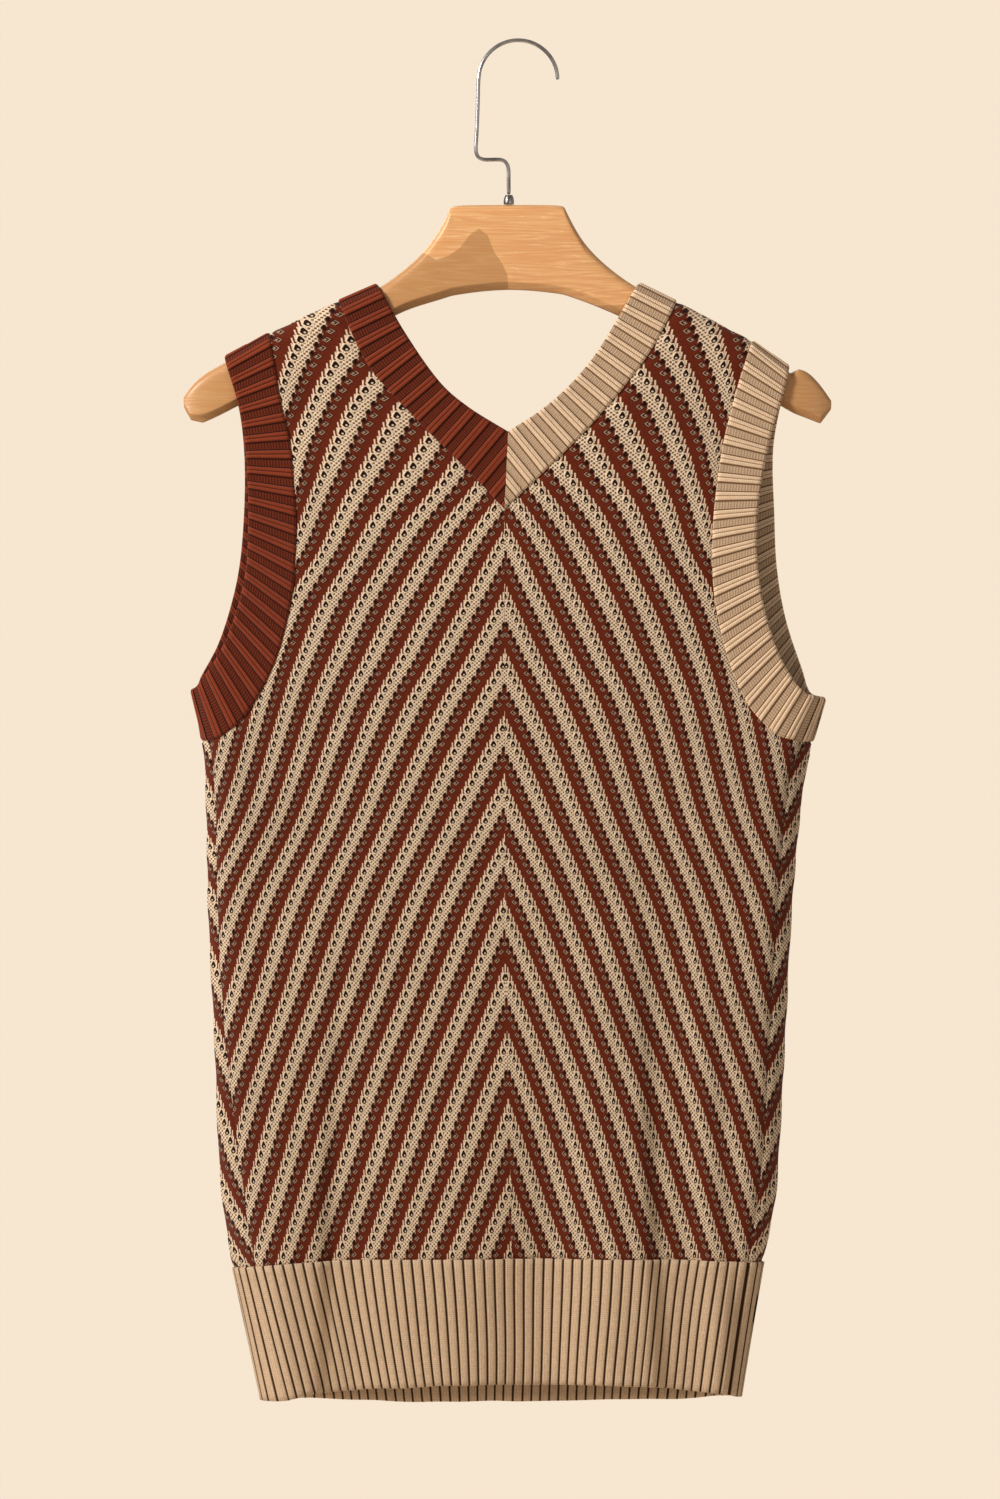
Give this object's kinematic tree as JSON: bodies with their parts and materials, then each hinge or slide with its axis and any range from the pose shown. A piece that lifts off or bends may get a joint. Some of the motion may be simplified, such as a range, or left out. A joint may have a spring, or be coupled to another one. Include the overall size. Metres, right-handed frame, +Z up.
{
  "type": "knitted v-neck sweater vest on a wooden hanger",
  "caption": "Sleeveless V-neck knit vest with chevron stripes, ribbed neck, armholes and hem, hanging on a shaped wooden hanger with a steel hook",
  "frame": {"origin": "inside top of the hanger's hook, where a rail or wall hook carries it", "axes": "+Z up along the height, front of the vest towards -Y, +X to the right as seen from the front"},
  "size_m": [0.4219, 0.0452, 0.8902],
  "materials": {
    "chevron_knit": "matt openwork knit in sand and rust brown chevron stripes",
    "rust_rib": "matt rib knit",
    "sand_rib": "matt rib knit",
    "beech": "satin clear finish",
    "steel": "bright"
  },
  "bodies": {
    "root": {"front_panel": "chevron_knit", "back_panel": "chevron_knit", "hem_rib_front": "sand_rib", "hem_rib_back": "sand_rib", "neckband_left_front": "rust_rib", "neckband_left_back": "rust_rib", "neckband_right_front": "sand_rib", "neckband_right_back": "sand_rib", "armband_left_front": "rust_rib", "armband_left_back": "rust_rib", "armband_right_front": "sand_rib", "armband_right_back": "sand_rib", "hanger_body": "beech", "hanger_ferrule": "steel", "hanger_hook": "steel"}
  },
  "joints": []
}
